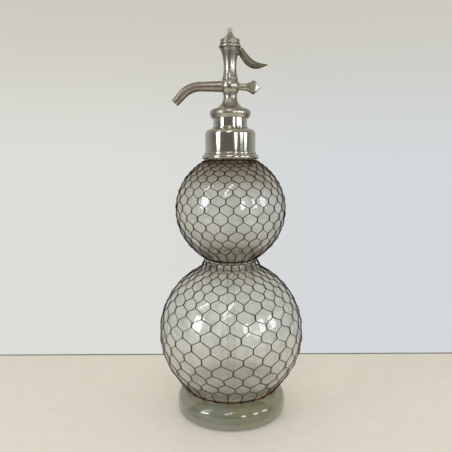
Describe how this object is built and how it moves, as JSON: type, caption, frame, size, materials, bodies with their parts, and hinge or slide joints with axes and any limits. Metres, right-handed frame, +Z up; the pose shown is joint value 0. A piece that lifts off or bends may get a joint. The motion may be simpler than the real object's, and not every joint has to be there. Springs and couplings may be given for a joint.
{
  "type": "soda siphon",
  "caption": "Two-globe glass soda siphon in hexagonal wire netting, with a screwed pewter tap head, a sprung thumb lever that lifts the valve, a bent spout and a dip tube.",
  "frame": {"origin": "middle of the foot's underside, on the axis of the globes", "axes": "+Z up along the axis of the vessel, the spout points to -X, the lever and the finger grip to +X"},
  "size_m": [0.1638, 0.1638, 0.4281],
  "materials": {
    "vessel_glass": "clear blown glass",
    "foot_glass": "thick greenish glass",
    "tube_glass": "clear drawn glass",
    "net_wire": "dark brown aged iron wire",
    "ring_wire": "rusty iron wire",
    "collar_pewter": "polished pewter",
    "head_pewter": "satin old pewter",
    "spout_pewter": "satin old pewter, browned",
    "grip_pewter": "worn bright pewter",
    "lever_pewter": "satin old pewter, olive brown",
    "spring_steel": "bare steel",
    "brass": "plain brass",
    "rubber": "matt black",
    "leather": "waxed leather",
    "cement": "grey-buff cement",
    "porcelain": "unglazed porcelain"
  },
  "bodies": {
    "vessel": {"lower_globe": "vessel_glass", "glass_waist": "vessel_glass", "upper_globe": "vessel_glass", "glass_neck": "vessel_glass", "glass_foot": "foot_glass", "upper_netting": "net_wire", "lower_netting": "net_wire", "neck_wire": "net_wire", "waist_wire": "net_wire", "bottom_ring_wire": "ring_wire", "collar": "collar_pewter", "collar_cement": "cement"},
    "washer": {"neck_washer": "rubber"},
    "head": {"valve_body": "head_pewter", "spout": "spout_pewter", "finger_grip": "grip_pewter", "top_cap": "head_pewter", "valve_spring": "spring_steel", "lever_pin": "spring_steel", "gland_packing": "leather", "gland_ring": "brass", "tube_nut": "head_pewter", "tube_sleeve": "rubber", "dip_tube": "tube_glass", "throat_stopper": "porcelain"},
    "lever": {"lever": "lever_pewter"},
    "valve": {"valve_rod": "brass", "valve_disc": "rubber"}
  },
  "joints": [
    {"name": "head_lift", "type": "slide", "parent": "vessel", "child": "washer", "axis": [0, 0, 1], "range_m": [0, 0.006]},
    {"name": "head_turn", "type": "hinge", "parent": "washer", "child": "head", "pos_m": [0, 0, 0.33337], "axis": [0, 0, 1], "range_deg": [0, 1080]},
    {"name": "lever_press", "type": "hinge", "parent": "head", "child": "lever", "pos_m": [0.0076, 0, 0.40287], "axis": [0, 1, 0], "range_deg": [0, 18], "stiffness_Nm_per_rad": 0.1, "springref_deg": -51.57},
    {"name": "valve_lift", "type": "slide", "parent": "head", "child": "valve", "axis": [0, 0, 1], "range_m": [0, 0.00236], "deforming": ["valve_spring"]}
  ],
  "couplings": [
    {"joint": "head_lift", "follows": "head_turn", "m_per_rad": 0.0003183},
    {"joint": "valve_lift", "follows": "lever_press", "m_per_rad": 0.0074756}
  ]
}
